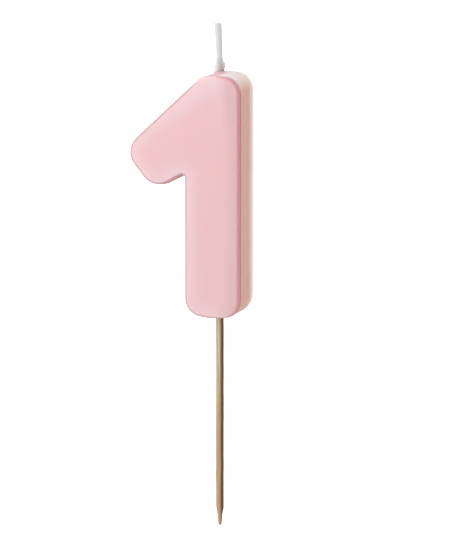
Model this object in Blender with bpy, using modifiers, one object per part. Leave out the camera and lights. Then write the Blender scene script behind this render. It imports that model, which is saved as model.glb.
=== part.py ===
"""Number birthday candle: a wax figure one on a bamboo pick, with a waxed cotton wick.

The figure is poured twice into one open mould. The first pour is the dyed front layer, the
second is the paler rear body, which takes the wick and the pick in one bore along its middle.

Frame: metres, +Z up, -Y is the front. The origin is on the common axis of pick and wick, level
with the lowest wax, where the candle meets the top of a cake.
"""

import math

import bmesh
import bpy
from mathutils import Vector

# Driving dimensions of the wax figure, in metres.
FIGURE_HEIGHT = 0.0700
FIGURE_THICKNESS = 0.0150
STEM_HALF_WIDTH = 0.0083
CROWN_DROP = 0.0010
CROWN_RADIUS = 0.0170
HEAD_CORNER_X = -0.0031
FLAG_TIP = (-0.0272, 0.0474)
FLAG_HEEL = (-0.0175, 0.0360)
NOTCH_HEIGHT = 0.0412

FOOT_RADIUS = 0.0055
SHOULDER_RADIUS = 0.0052
HEAD_RADIUS = 0.0085
FLAG_TIP_RADIUS = 0.0060
FLAG_HEEL_RADIUS = 0.0062
NOTCH_RADIUS = 0.0005
ARC_STEP = math.radians(9)

# The two pours and the seam between them.
FRONT_LAYER_THICKNESS = 0.0026
SEAM_GAP = 0.0003
SEAM_STEP = 0.0003
FRONT_EDGE_RADIUS = 0.0007
REAR_EDGE_RADIUS = 0.0022
EDGE_SEGMENTS = 4

# Bamboo pick.
PICK_DIAMETER = 0.0023
PICK_LENGTH = 0.0900
PICK_EXPOSED = 0.0615
PICK_POINT_LENGTH = 0.0060
PICK_POINT_DIAMETER = 0.0008
PICK_CLEARANCE = 0.0003

# Wick, its wax coat and the wax collar that it drew up out of the pour.
BRAID_DIAMETER = 0.0010
COAT_DIAMETER = 0.0019
COAT_GAP = 0.0001
WICK_EXPOSED = 0.0140
WICK_ABOVE_PICK = 0.0012
WICK_CLEARANCE = 0.0003
WICK_LEAN = math.radians(-2.5)
COLLAR_HEIGHT = 0.0036
COLLAR_BASE_DIAMETER = 0.0029
COLLAR_GAP = 0.0001
BEND_LIFT = 0.0003
COAT_LIFT = 0.0008

ROUND_STEPS = 32
CUT_MARGIN = 0.0020
MERGE_DISTANCE = 0.000001
SMOOTH_ANGLE = math.radians(35)

FRONT_Y = -FIGURE_THICKNESS / 2
REAR_Y = FIGURE_THICKNESS / 2
SEAM_Y = FRONT_Y + FRONT_LAYER_THICKNESS
PICK_TOP_Z = PICK_LENGTH - PICK_EXPOSED
HINGE_Z = FIGURE_HEIGHT + COLLAR_HEIGHT + BEND_LIFT
WICK_TOP_Z = FIGURE_HEIGHT + WICK_EXPOSED


def clear_scene():
    """Remove every object of the scene."""
    for item in list(bpy.data.objects):
        bpy.data.objects.remove(item, do_unlink=True)


def new_collection(name):
    """Link a new collection to the scene."""
    collection = bpy.data.collections.new(name)
    bpy.context.scene.collection.children.link(collection)
    return collection


def linear_colour(hex_code):
    """Turn an sRGB hex colour into linear RGBA."""
    channels = [int(hex_code[i : i + 2], 16) / 255 for i in (1, 3, 5)]
    linear = [c / 12.92 if c <= 0.04045 else ((c + 0.055) / 1.055) ** 2.4 for c in channels]
    return (*linear, 1.0)


def new_material(name, hex_code, roughness):
    """A Principled material: none of this candle's materials is a metal."""
    material = bpy.data.materials.new(name)
    material.use_nodes = True
    shader = material.node_tree.nodes["Principled BSDF"]
    shader.inputs["Base Color"].default_value = linear_colour(hex_code)
    shader.inputs["Roughness"].default_value = roughness
    shader.inputs["Metallic"].default_value = 0.0
    material.diffuse_color = linear_colour(hex_code)
    return material


def figure_corners():
    """Corners (x, z, radius) of the figure one, anticlockwise seen from the front."""
    slope = math.atan2(CROWN_DROP, STEM_HALF_WIDTH)
    rounding = CROWN_RADIUS * (1 / math.cos(slope) - 1)
    foot_z = CROWN_DROP - rounding
    return [
        (-STEM_HALF_WIDTH, foot_z, FOOT_RADIUS),
        (0.0, -rounding, CROWN_RADIUS),
        (STEM_HALF_WIDTH, foot_z, FOOT_RADIUS),
        (STEM_HALF_WIDTH, FIGURE_HEIGHT, SHOULDER_RADIUS),
        (HEAD_CORNER_X, FIGURE_HEIGHT, HEAD_RADIUS),
        (*FLAG_TIP, FLAG_TIP_RADIUS),
        (*FLAG_HEEL, FLAG_HEEL_RADIUS),
        (-STEM_HALF_WIDTH, NOTCH_HEIGHT, NOTCH_RADIUS),
    ]


def inset_corners(corners, inset):
    """Move every edge inwards; convex radii shrink by the inset and hollow ones grow."""
    moved = []
    count = len(corners)
    for index, (x, z, radius) in enumerate(corners):
        here = Vector((x, z))
        arriving = (here - Vector(corners[index - 1][:2])).normalized()
        leaving = (Vector(corners[(index + 1) % count][:2]) - here).normalized()
        turn = arriving.cross(leaving)
        normals = [Vector((-edge.y, edge.x)) for edge in (arriving, leaving)]
        bisector = (normals[0] + normals[1]) / (1 + normals[0].dot(normals[1]))
        shifted = here + bisector * inset
        moved.append((shifted.x, shifted.y, radius - math.copysign(inset, turn)))
    return moved


def rounded_outline(corners):
    """Replace each corner (x, z, radius) with the points of its arc."""
    points = []
    count = len(corners)
    for index, (x, z, radius) in enumerate(corners):
        here = Vector((x, z))
        back = (Vector(corners[index - 1][:2]) - here).normalized()
        ahead = (Vector(corners[(index + 1) % count][:2]) - here).normalized()
        half_angle = back.angle(ahead) / 2
        centre = here + (back + ahead).normalized() * radius / math.sin(half_angle)
        start = here + back * radius / math.tan(half_angle) - centre
        sweep = math.pi - 2 * half_angle
        sweep = math.copysign(sweep, back.cross(ahead) * -1)
        steps = max(2, round(abs(sweep) / ARC_STEP))
        for step in range(steps + 1):
            angle = sweep * step / steps
            turned = Vector(
                (
                    start.x * math.cos(angle) - start.y * math.sin(angle),
                    start.x * math.sin(angle) + start.y * math.cos(angle),
                )
            )
            points.append(centre + turned)
    return points


def outline_slab(name, outline, y_front, y_rear):
    """Fill a flat outline with a 2D curve, extrude it from y_front to y_rear, make it a mesh."""
    curve = bpy.data.curves.new(name + "_outline", "CURVE")
    curve.dimensions = "2D"
    curve.fill_mode = "BOTH"
    curve.extrude = (y_rear - y_front) / 2
    spline = curve.splines.new("POLY")
    spline.points.add(len(outline) - 1)
    for spline_point, place in zip(spline.points, outline):
        spline_point.co = (place.x, place.y, 0, 1)
    spline.use_cyclic_u = True
    stand = bpy.data.objects.new(name + "_outline", curve)
    stand.location = (0, (y_front + y_rear) / 2, 0)
    stand.rotation_euler = (math.pi / 2, 0, 0)
    bpy.context.scene.collection.objects.link(stand)
    bpy.context.view_layer.update()
    graph = bpy.context.evaluated_depsgraph_get()
    mesh = bpy.data.meshes.new_from_object(stand.evaluated_get(graph))
    mesh.name = name
    slab = bpy.data.objects.new(name, mesh)
    slab.matrix_world = stand.matrix_world
    bpy.data.objects.remove(stand, do_unlink=True)
    bpy.data.curves.remove(curve)
    clean_caps(mesh)
    return slab


def clean_caps(mesh):
    """Weld the caps of an extruded outline to its wall and make each cap one face."""
    work = bmesh.new()
    work.from_mesh(mesh)
    bmesh.ops.remove_doubles(work, verts=work.verts, dist=MERGE_DISTANCE)
    caps = [face for face in work.faces if abs(face.normal.z) > 0.5]
    inner = {edge for face in caps for edge in face.edges if edge.calc_face_angle(1.0) < 0.1}
    bmesh.ops.dissolve_edges(work, edges=list(inner), use_verts=False)
    bmesh.ops.recalc_face_normals(work, faces=work.faces)
    work.to_mesh(mesh)
    work.free()


def round_rim(slab, local_z, radius):
    """Bevel the rim at one end of a slab: local +Z is the slab's front."""
    mesh = slab.data
    weights = mesh.attributes.new("bevel_weight_edge", "FLOAT", "EDGE")
    for edge in mesh.edges:
        ends = [mesh.vertices[index].co.z for index in edge.vertices]
        on_rim = all(abs(z - local_z) < MERGE_DISTANCE * 10 for z in ends)
        weights.data[edge.index].value = 1.0 if on_rim else 0.0
    bevel = slab.modifiers.new("edge", "BEVEL")
    bevel.limit_method = "WEIGHT"
    bevel.width = radius
    bevel.segments = EDGE_SEGMENTS
    bevel.use_clamp_overlap = False


def turned(name, profile, closed=False):
    """Turn a profile (radius, z) about the object's Z axis with a Screw modifier."""
    mesh = bpy.data.meshes.new(name)
    edges = [(index, index + 1) for index in range(len(profile) - 1)]
    if closed:
        edges.append((len(profile) - 1, 0))
    mesh.from_pydata([(radius, 0, z) for radius, z in profile], edges, [])
    item = bpy.data.objects.new(name, mesh)
    screw = item.modifiers.new("turn", "SCREW")
    screw.steps = ROUND_STEPS
    screw.render_steps = ROUND_STEPS
    screw.use_merge_vertices = True
    screw.merge_threshold = MERGE_DISTANCE
    screw.use_smooth_shade = True
    return item


def bore_cutter(name, diameter, bottom, top, collection):
    """A cylinder along the common axis that cuts a bore, or part of one."""
    cutter = turned(name, [(0, top), (diameter / 2, top), (diameter / 2, bottom), (0, bottom)])
    cutter.hide_render = True
    cutter.display_type = "WIRE"
    collection.objects.link(cutter)
    return cutter


def cut(item, cutter):
    """Subtract a cutter with an exact boolean."""
    boolean = item.modifiers.new("cut_" + cutter.name, "BOOLEAN")
    boolean.operation = "DIFFERENCE"
    boolean.solver = "EXACT"
    boolean.object = cutter


def front_wax_layer():
    """First pour: the dyed front, a seam step smaller all round than the rear body."""
    outline = rounded_outline(inset_corners(figure_corners(), SEAM_STEP))
    layer = outline_slab("front_wax_layer", outline, FRONT_Y, SEAM_Y - SEAM_GAP / 2)
    thickness = FRONT_LAYER_THICKNESS - SEAM_GAP / 2
    round_rim(layer, thickness / 2, FRONT_EDGE_RADIUS)
    return layer


def rear_wax_body(cutters):
    """Second pour: the thick rear body, with one stepped bore for pick and wick."""
    outline = rounded_outline(figure_corners())
    body = outline_slab("rear_wax_body", outline, SEAM_Y + SEAM_GAP / 2, REAR_Y)
    thickness = REAR_Y - SEAM_Y - SEAM_GAP / 2
    round_rim(body, -thickness / 2, REAR_EDGE_RADIUS)
    pick_bore = PICK_DIAMETER + 2 * PICK_CLEARANCE
    wick_bore = BRAID_DIAMETER + 2 * WICK_CLEARANCE
    socket_top = PICK_TOP_Z + PICK_CLEARANCE
    cut(body, bore_cutter("pick_socket", pick_bore, -CUT_MARGIN, socket_top, cutters))
    overlap = socket_top - CUT_MARGIN
    channel_top = FIGURE_HEIGHT + CUT_MARGIN
    cut(body, bore_cutter("wick_channel", wick_bore, overlap, channel_top, cutters))
    return body


def bamboo_pick():
    """A round bamboo stick, cut square inside the wax and tapered to a blunt point below."""
    radius = PICK_DIAMETER / 2
    return turned(
        "bamboo_pick",
        [
            (0, PICK_TOP_Z),
            (radius, PICK_TOP_Z),
            (radius, PICK_POINT_LENGTH - PICK_EXPOSED),
            (PICK_POINT_DIAMETER / 2, -PICK_EXPOSED),
            (0, -PICK_EXPOSED),
        ],
    )


def wick_braid_lower():
    """The cotton braid inside the wax, from just above the pick up into the collar."""
    radius = BRAID_DIAMETER / 2
    top = HINGE_Z - radius - COAT_GAP
    bottom = PICK_TOP_Z + WICK_ABOVE_PICK
    profile = [(0, top), (radius, top), (radius, bottom), (0, bottom)]
    return turned("wick_braid_lower", profile)


def wick_wax_collar():
    """The small cone of wax that climbs the wick where it leaves the figure."""
    bore = BRAID_DIAMETER / 2 + COAT_GAP
    bottom = FIGURE_HEIGHT + COLLAR_GAP
    top = FIGURE_HEIGHT + COLLAR_HEIGHT
    base = COLLAR_BASE_DIAMETER / 2
    rim = COAT_DIAMETER / 2
    height = top - bottom
    flare = [
        (rim, top),
        (rim + (base - rim) * 0.2, bottom + height * 0.5),
        (rim + (base - rim) * 0.5, bottom + height * 0.2),
        (base, bottom),
    ]
    return turned("wick_wax_collar", flare + [(bore, bottom), (bore, top)], closed=True)


def wick_braid_tip(pivot):
    """The cotton braid above the collar, ending below in a ball round the bending point."""
    radius = BRAID_DIAMETER / 2
    top = WICK_TOP_Z - HINGE_Z
    quarter = [math.pi / 2 * step / 6 for step in range(1, 7)]
    ball = [(radius * math.cos(a), -radius * math.sin(a)) for a in quarter[:-1]]
    profile = [(0, top), (radius, top), (radius, 0)] + ball + [(0, -radius)]
    tip = turned("wick_braid_tip", profile)
    tip.parent = pivot
    return tip


def wick_wax_coat(pivot):
    """The sleeve of priming wax round the exposed braid."""
    outer = COAT_DIAMETER / 2
    inner = BRAID_DIAMETER / 2 + COAT_GAP
    top = WICK_TOP_Z - HINGE_Z
    profile = [(outer, top), (outer, COAT_LIFT), (inner, COAT_LIFT), (inner, top)]
    coat = turned("wick_wax_coat", profile, closed=True)
    coat.parent = pivot
    return coat


def wick_pivot():
    """The bending point of the exposed wick, which leans a little to the left at rest."""
    pivot = bpy.data.objects.new("wick_pivot", None)
    pivot.location = (0, 0, HINGE_Z)
    pivot.rotation_euler = (0, WICK_LEAN, 0)
    pivot.empty_display_size = COAT_DIAMETER
    return pivot


def main():
    """Model the candle, one object for each piece."""
    clear_scene()
    candle = new_collection("number_one_candle")
    cutters = new_collection("cutters")
    pink_wax = new_material("pink_wax", "#f1c5c8", 0.42)
    pale_wax = new_material("pale_wax", "#e8cfc6", 0.45)
    white_wax = new_material("white_wax", "#e9e7e4", 0.40)
    cotton = new_material("cotton", "#efece4", 0.90)
    bamboo = new_material("bamboo", "#c9ad82", 0.62)
    pivot = wick_pivot()
    candle.objects.link(pivot)
    pieces = [
        (front_wax_layer(), pink_wax),
        (rear_wax_body(cutters), pale_wax),
        (bamboo_pick(), bamboo),
        (wick_braid_lower(), cotton),
        (wick_braid_tip(pivot), cotton),
        (wick_wax_coat(pivot), white_wax),
        (wick_wax_collar(), white_wax),
    ]
    for item, material in pieces:
        item.data.materials.clear()
        item.data.materials.append(material)
        item.data.shade_smooth()
        item.data.set_sharp_from_angle(angle=SMOOTH_ANGLE)
        candle.objects.link(item)
    bpy.context.view_layer.update()


main()
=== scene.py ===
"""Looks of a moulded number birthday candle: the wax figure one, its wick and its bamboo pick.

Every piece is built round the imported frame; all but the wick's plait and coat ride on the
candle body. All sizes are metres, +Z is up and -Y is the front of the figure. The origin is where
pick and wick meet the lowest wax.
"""

import math

import bmesh
import bpy
import numpy as np
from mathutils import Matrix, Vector, noise
from mathutils.geometry import delaunay_2d_cdt


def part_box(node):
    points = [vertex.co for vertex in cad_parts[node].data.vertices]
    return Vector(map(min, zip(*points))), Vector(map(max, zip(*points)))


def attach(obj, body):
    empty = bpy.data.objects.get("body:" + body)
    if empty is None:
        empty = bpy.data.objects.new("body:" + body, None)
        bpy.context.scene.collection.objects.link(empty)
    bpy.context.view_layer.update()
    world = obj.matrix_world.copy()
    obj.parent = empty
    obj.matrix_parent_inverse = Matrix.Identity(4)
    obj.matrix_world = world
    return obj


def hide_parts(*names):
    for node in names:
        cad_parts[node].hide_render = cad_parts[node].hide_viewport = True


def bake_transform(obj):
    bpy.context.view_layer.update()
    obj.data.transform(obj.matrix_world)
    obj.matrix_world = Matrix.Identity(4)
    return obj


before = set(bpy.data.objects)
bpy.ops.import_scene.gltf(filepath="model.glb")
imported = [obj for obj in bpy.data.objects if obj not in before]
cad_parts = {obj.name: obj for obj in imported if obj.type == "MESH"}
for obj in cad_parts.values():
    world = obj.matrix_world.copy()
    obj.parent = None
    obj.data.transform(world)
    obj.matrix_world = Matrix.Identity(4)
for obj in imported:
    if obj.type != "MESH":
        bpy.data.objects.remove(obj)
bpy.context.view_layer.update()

bl_info = {
    "name": "Number Birthday Candle",
    "version": (1, 0, 0),
    "blender": (4, 5, 0),
    "location": "View3D > Sidebar > Candle",
    "description": "Builds a moulded wax figure one with its wick, its bamboo pick and a studio",
    "category": "Add Mesh",
}

MM = 0.001

# Places and sizes read from the frame.
FRONT_LOW, FRONT_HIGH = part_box("front_wax_layer")
REAR_LOW, REAR_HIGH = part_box("rear_wax_body")
PICK_LOW, PICK_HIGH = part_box("bamboo_pick")
BRAID_LOW, BRAID_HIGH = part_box("wick_braid_lower")
COAT_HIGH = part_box("wick_wax_coat")[1]
COLLAR_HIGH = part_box("wick_wax_collar")[1]
HALF_STEM = REAR_HIGH.x
FIGURE_TOP = REAR_HIGH.z
FACE_Y = FRONT_LOW.y
BACK_Y = REAR_HIGH.y
SEAM_Y = (FRONT_HIGH.y + REAR_LOW.y) / 2
PICK_RADIUS = PICK_HIGH.x
COAT_RADIUS = COAT_HIGH.y

# Outline of the figure one, as it was cut for the mould.
CROWN_DROP = 1.0 * MM
CROWN_RADIUS = 17.0 * MM
HEAD_CORNER_X = -3.1 * MM
FLAG_TIP = (-27.2 * MM, 47.4 * MM)
FLAG_HEEL = (-17.5 * MM, 36.0 * MM)
NOTCH_HEIGHT = 41.2 * MM
FOOT_RADIUS = 5.5 * MM
SHOULDER_RADIUS = 5.2 * MM
HEAD_RADIUS = 8.5 * MM
FLAG_TIP_RADIUS = 6.0 * MM
FLAG_HEEL_RADIUS = 6.2 * MM
NOTCH_RADIUS = 0.5 * MM

# Mesh density.
OUTLINE_SPACING = 0.42 * MM
PROFILE_SPACING = 0.38 * MM
CAP_SPACING = 0.9 * MM
CAP_INSET = 4.2 * MM
COAT_RINGS, COAT_SIDES = 90, 40
COLLAR_RINGS, COLLAR_SIDES = 40, 64
PICK_RINGS, PICK_SIDES = 110, 56

MILLIMETRES = 1000.0  # in one metre

# Which way the painted shade on the bamboo faces, round from +X: the side away from the lamps.
SHADED_SIDE = math.radians(12)

# How wax creeps at the foot of the wick and round the pick.
MENISCUS_REACH = 3.4 * MM
WICK_FADE = 0.45 * MM
PICK_CLIMB = 0.22 * MM
PICK_FADE = 0.25 * MM

# The collar on the wick: its flake and its lobe face away from each other along this angle.
FLAKE_SIDE = math.radians(20)
FLAKE_TOP, FLAKE_DEPTH = 3.4 * MM, 0.62 * MM
LOBE_TOP, LOBE_DEPTH = 2.7 * MM, 0.66 * MM
COLLAR_FOOT = 0.06 * MM

# The lean of the wick, and how its coat swells towards the cut end.
LEAN_START = FIGURE_TOP + 1.5 * MM
LEAN_REACH = 0.60 * MM
FLARE_LENGTH = 9 * MM

# A slanting nick near the point of the pick: its height at SIDE, its slant per radian, its depth.
NICK_SIDE = math.radians(250)
NICK_HEIGHT, NICK_SLANT, NICK_DEPTH = 7.4 * MM, 0.9 * MM, 0.10 * MM

# What the camera takes in: the height of the view and the place at its middle.
VIEW_HEIGHT = 157.4 * MM
VIEW_CENTRE_Z = 11.40 * MM
VIEW_SHIFT_RIGHT = 2.33 * MM


def linear(hex_code):
    """Turn an sRGB hex colour into linear RGBA."""
    channels = [int(hex_code[i : i + 2], 16) / 255 for i in (1, 3, 5)]
    return (*(c / 12.92 if c <= 0.04045 else ((c + 0.055) / 1.055) ** 2.4 for c in channels), 1.0)


def length_prop(name, description, default):
    """A length in metres for a property group."""
    return bpy.props.FloatProperty(
        name=name, description=description, default=default, unit="LENGTH", precision=5
    )


def colour_prop(name, description, hex_code):
    """A colour for a property group, given as sRGB hex."""
    return bpy.props.FloatVectorProperty(
        name=name, description=description, default=linear(hex_code), subtype="COLOR", size=4
    )


class CandleWax(bpy.types.PropertyGroup):
    """Finish of the two pours of wax, with the light and shade painted on them."""

    front_colour: colour_prop("Front Colour", "Dyed wax in the middle of the front", "#e9c4c6")
    # Painted highlight: a pale band inside the rim, and painted top light over the crown.
    front_painted_highlight: colour_prop("Front Pale", "Dyed wax near the rim, where it is palest", "#eacfd2")
    # Painted shade: a dusky band inside the rim on the right side, away from the lamps.
    front_painted_shade: colour_prop("Front Dusk", "Dyed wax near the rim on the right", "#dfbcbf")
    # Painted shade along the sharp edge and down the side wall; the collar's pink stain uses this
    # colour too.
    front_edge_shade_and_stain: colour_prop("Front Edge", "Dyed wax along the sharp edge and down the side", "#db9ca1")
    # Painted shade: a greyer dark line on the crest of the left edges.
    front_crest_shade: colour_prop("Front Line", "Dyed wax on the crest of the left edges", "#bda3a6")
    rear_colour: colour_prop("Rear Colour", "Peach wax of the rear body", "#e5ae9f")
    # Painted light: pale cream on the open top, and a painted rim light along the rear edge.
    rear_lit_cream: colour_prop("Rear Pale", "Cream bloom at the top and along the rear edge", "#f9e7e0")
    halo_colour: colour_prop("Halo Colour", "Rear wax stained by the dye round the wick", "#ebb9bd")
    wave_height: length_prop("Wave Height", "Unevenness of the moulded surface", 0.025 * MM)
    meniscus_height: length_prop("Meniscus Height", "How far wax climbs the wick", 0.8 * MM)


class CandleWick(bpy.types.PropertyGroup):
    """Size and finish of the wick."""

    strands: bpy.props.IntProperty(name="Strands", description="Strands in the plait", default=3)
    strand_radius: length_prop("Strand Radius", "Radius of one cotton strand", 0.25 * MM)
    pitch: length_prop("Pitch", "Length of one full turn of the plait", 3.0 * MM)
    cotton_colour: colour_prop("Cotton Colour", "Bleached cotton", "#efece4")
    wax_colour: colour_prop("Wax Colour", "Priming wax on the wick", "#dadad9")
    collar_colour: colour_prop("Collar Colour", "Priming wax drawn up round the foot", "#e0e0de")


class CandlePick(bpy.types.PropertyGroup):
    """Size and finish of the bamboo pick."""

    point_length: length_prop("Point Length", "Length of the ground point", 5.6 * MM)
    point_radius: length_prop("Point Radius", "Radius of the blunt end", 0.46 * MM)
    waist_height: length_prop("Waist Height", "Where the point's two slopes meet", 3.0 * MM)
    waist_radius: length_prop("Waist Radius", "Radius where the two slopes meet", 0.68 * MM)
    fibres: bpy.props.IntProperty(name="Fibres", description="Raised fibre bundles", default=150)
    pale_colour: colour_prop("Pale Colour", "Pith between the fibre bundles", "#cec4a7")
    dark_colour: colour_prop("Dark Colour", "Fibre bundles", "#b0956f")
    aged_colour: colour_prop("Aged Colour", "Browner wood towards the point", "#b58a5e")
    # Painted shade: a dark brown band down the side of the pick turned away from the lamps.
    painted_shade_colour: colour_prop("Skin Colour", "Denser wood on the side nearest the skin", "#6b4a2c")


class CandleStudio(bpy.types.PropertyGroup):
    """Camera and studio."""

    azimuth: bpy.props.FloatProperty(
        name="Azimuth", description="Camera right of the front", default=math.radians(20.17),
        subtype="ANGLE",
    )
    elevation: bpy.props.FloatProperty(
        name="Elevation", description="Camera above the level", default=math.radians(10.71),
        subtype="ANGLE",
    )
    lens: bpy.props.FloatProperty(
        name="Lens", description="Focal length in mm", default=300.0, subtype="DISTANCE_CAMERA"
    )


def figure_corners():
    """Corners (x, z, radius) of the figure one, anticlockwise seen from the front."""
    slope = math.atan2(CROWN_DROP, HALF_STEM)
    rounding = CROWN_RADIUS * (1 / math.cos(slope) - 1)
    foot_z = CROWN_DROP - rounding
    return [
        (-HALF_STEM, foot_z, FOOT_RADIUS),
        (0.0, -rounding, CROWN_RADIUS),
        (HALF_STEM, foot_z, FOOT_RADIUS),
        (HALF_STEM, FIGURE_TOP, SHOULDER_RADIUS),
        (HEAD_CORNER_X, FIGURE_TOP, HEAD_RADIUS),
        (*FLAG_TIP, FLAG_TIP_RADIUS),
        (*FLAG_HEEL, FLAG_HEEL_RADIUS),
        (-HALF_STEM, NOTCH_HEIGHT, NOTCH_RADIUS),
    ]


def inset_corners(corners, inset):
    """Move every edge inwards; convex radii shrink by the inset and hollow ones grow."""
    moved = []
    for index, (x, z, radius) in enumerate(corners):
        here = Vector((x, z))
        arriving = (here - Vector(corners[index - 1][:2])).normalized()
        leaving = (Vector(corners[(index + 1) % len(corners)][:2]) - here).normalized()
        turn = arriving.cross(leaving)
        normals = [Vector((-edge.y, edge.x)) for edge in (arriving, leaving)]
        shifted = here + (normals[0] + normals[1]) * inset / (1 + normals[0].dot(normals[1]))
        moved.append((shifted.x, shifted.y, radius - math.copysign(inset, turn)))
    return moved


def turned(spoke, angle):
    """A flat vector turned anticlockwise."""
    c, s = math.cos(angle), math.sin(angle)
    return Vector((spoke.x * c - spoke.y * s, spoke.x * s + spoke.y * c))


def corner_arcs(corners):
    """Centre, first spoke and sweep of the arc at each corner."""
    arcs = []
    for index, (x, z, radius) in enumerate(corners):
        here = Vector((x, z))
        back = (Vector(corners[index - 1][:2]) - here).normalized()
        ahead = (Vector(corners[(index + 1) % len(corners)][:2]) - here).normalized()
        half = back.angle(ahead) / 2
        centre = here + (back + ahead).normalized() * radius / math.sin(half)
        spoke = here + back * radius / math.tan(half) - centre
        arcs.append((centre, spoke, math.copysign(math.pi - 2 * half, ahead.cross(back))))
    return arcs


def outline_steps():
    """Steps for each arc and for the straight after it, from their lengths on the full outline."""
    arcs = corner_arcs(figure_corners())
    steps = []
    for index, (centre, spoke, sweep) in enumerate(arcs):
        next_centre, next_spoke, _ = arcs[(index + 1) % len(arcs)]
        straight = (next_centre + next_spoke - centre - turned(spoke, sweep)).length
        arc = max(6, round(abs(sweep) * spoke.length / OUTLINE_SPACING))
        steps.append((arc, max(1, round(straight / OUTLINE_SPACING))))
    return steps


def outline(inset):
    """Points of the figure's outline moved inwards by inset, always the same number of them."""
    arcs = corner_arcs(inset_corners(figure_corners(), inset))
    points = []
    for index, (arc_steps, straight_steps) in enumerate(outline_steps()):
        centre, spoke, sweep = arcs[index]
        next_centre, next_spoke, _ = arcs[(index + 1) % len(arcs)]
        points += [centre + turned(spoke, sweep * k / arc_steps) for k in range(arc_steps + 1)]
        start, end = points[-1], next_centre + next_spoke
        points += [start.lerp(end, k / straight_steps) for k in range(1, straight_steps)]
    return points


def arc_profile(centre, width, depth, start_deg, end_deg, steps):
    """Points (inset, y) on an elliptical arc of the edge; 180 degrees points out of the figure."""
    angles = [math.radians(start_deg + (end_deg - start_deg) * k / steps) for k in range(steps + 1)]
    return [(centre[0] + width * math.cos(a), centre[1] + depth * math.sin(a)) for a in angles]


def refined(profile, spacing):
    """Split the long steps of a profile evenly."""
    fine = [profile[0]]
    for (i0, y0), (i1, y1) in zip(profile, profile[1:]):
        steps = max(1, math.ceil(math.hypot(i1 - i0, y1 - y0) / spacing))
        fine += [(i0 + (i1 - i0) * k / steps, y0 + (y1 - y0) * k / steps) for k in range(1, steps + 1)]
    return fine


def lattice_inside(ring, spacing):
    """Points of a triangular lattice that lie well inside a closed flat ring."""
    border = np.array([tuple(p) for p in ring])
    low, high = border.min(0), border.max(0)
    rows = np.arange(low[1], high[1], spacing * math.sqrt(3) / 2)
    places = [
        (x + (index % 2) * spacing / 2, z)
        for index, z in enumerate(rows)
        for x in np.arange(low[0], high[0], spacing)
    ]
    after = np.roll(border, -1, 0)
    kept = []
    for x, z in places:
        crossing = (border[:, 1] > z) != (after[:, 1] > z)
        a, b = border[crossing], after[crossing]
        reach = a[:, 0] + (z - a[:, 1]) / (b[:, 1] - a[:, 1]) * (b[:, 0] - a[:, 0])
        clear = np.hypot(border[:, 0] - x, border[:, 1] - z).min() > spacing * 0.6
        if clear and (reach > x).sum() % 2:
            kept.append(Vector((x, z)))
    return kept


def fill_cap(work, ring):
    """Close a flat ring with an even triangle mesh."""
    y = ring[0].co.y
    flat = [Vector((v.co.x, v.co.z)) * MILLIMETRES for v in ring]
    inner = lattice_inside(flat, CAP_SPACING * MILLIMETRES)
    found = delaunay_2d_cdt(flat + inner, [], [list(range(len(flat)))], 1, 1e-6)
    corners = []
    for place, sources in zip(found[0], found[3]):
        own = [source for source in sources if source < len(flat)]
        spot = (place.x / MILLIMETRES, y, place.y / MILLIMETRES)
        corners.append(ring[own[0]] if own else work.verts.new(spot))
    for face in found[2]:
        work.faces.new([corners[index] for index in face])


def loft(work, rings):
    """Join closed rings of equal count with quads."""
    for lower, upper in zip(rings, rings[1:]):
        for index in range(len(lower)):
            after = (index + 1) % len(lower)
            work.faces.new((lower[index], lower[after], upper[after], upper[index]))


def slab(profile):
    """A closed body whose edge follows a profile (inset, y) all round the figure's outline."""
    work = bmesh.new()
    rings = []
    for inset, y in refined(profile, PROFILE_SPACING):
        rings.append([work.verts.new((p.x, y, p.y)) for p in outline(inset)])
    loft(work, rings)
    fill_cap(work, rings[0])
    fill_cap(work, rings[-1])
    bmesh.ops.recalc_face_normals(work, faces=work.faces)
    return work


def ripple(work, height, wavelength, seed):
    """Push the surface in and out a little, as wax settles unevenly in a mould."""
    work.normal_update()
    shift = Vector((seed, seed * 0.7, -seed))
    moves = [v.normal * height * noise.noise(v.co / wavelength + shift) for v in work.verts]
    for vert, move in zip(work.verts, moves):
        vert.co += move


def mark_rim_depth(item):
    """Store each vertex's distance from the figure's outline, seen from the front."""
    places = np.array([(v.co.x, v.co.z) for v in item.data.vertices])
    border = np.array([tuple(p) for p in outline(0.0)])
    depth = [np.hypot(*(border - place).T).min() for place in places]
    item.data.attributes.new("rim_depth", "FLOAT", "POINT").data.foreach_set("value", depth)


def smooth_step(x):
    """Ease from 0 to 1."""
    x = min(1.0, max(0.0, x))
    return x * x * (3 - 2 * x)


def mesh_object(name, work):
    """Turn a bmesh into a linked, smooth object."""
    mesh = bpy.data.meshes.new(name)
    work.to_mesh(mesh)
    work.free()
    mesh.shade_smooth()
    item = bpy.data.objects.new(name, mesh)
    bpy.context.scene.collection.objects.link(item)
    return item


def baked(item):
    """Apply an object's modifiers by replacing its mesh with the evaluated one."""
    graph = bpy.context.evaluated_depsgraph_get()
    mesh = bpy.data.meshes.new_from_object(item.evaluated_get(graph))
    item.modifiers.clear()
    item.data = mesh
    return item


def finish_piece(item, material, nodes):
    """Give a piece its material, and let it stand for its CAD nodes by hiding them."""
    item.data.materials.clear()
    item.data.materials.append(material)
    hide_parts(*nodes)


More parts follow.
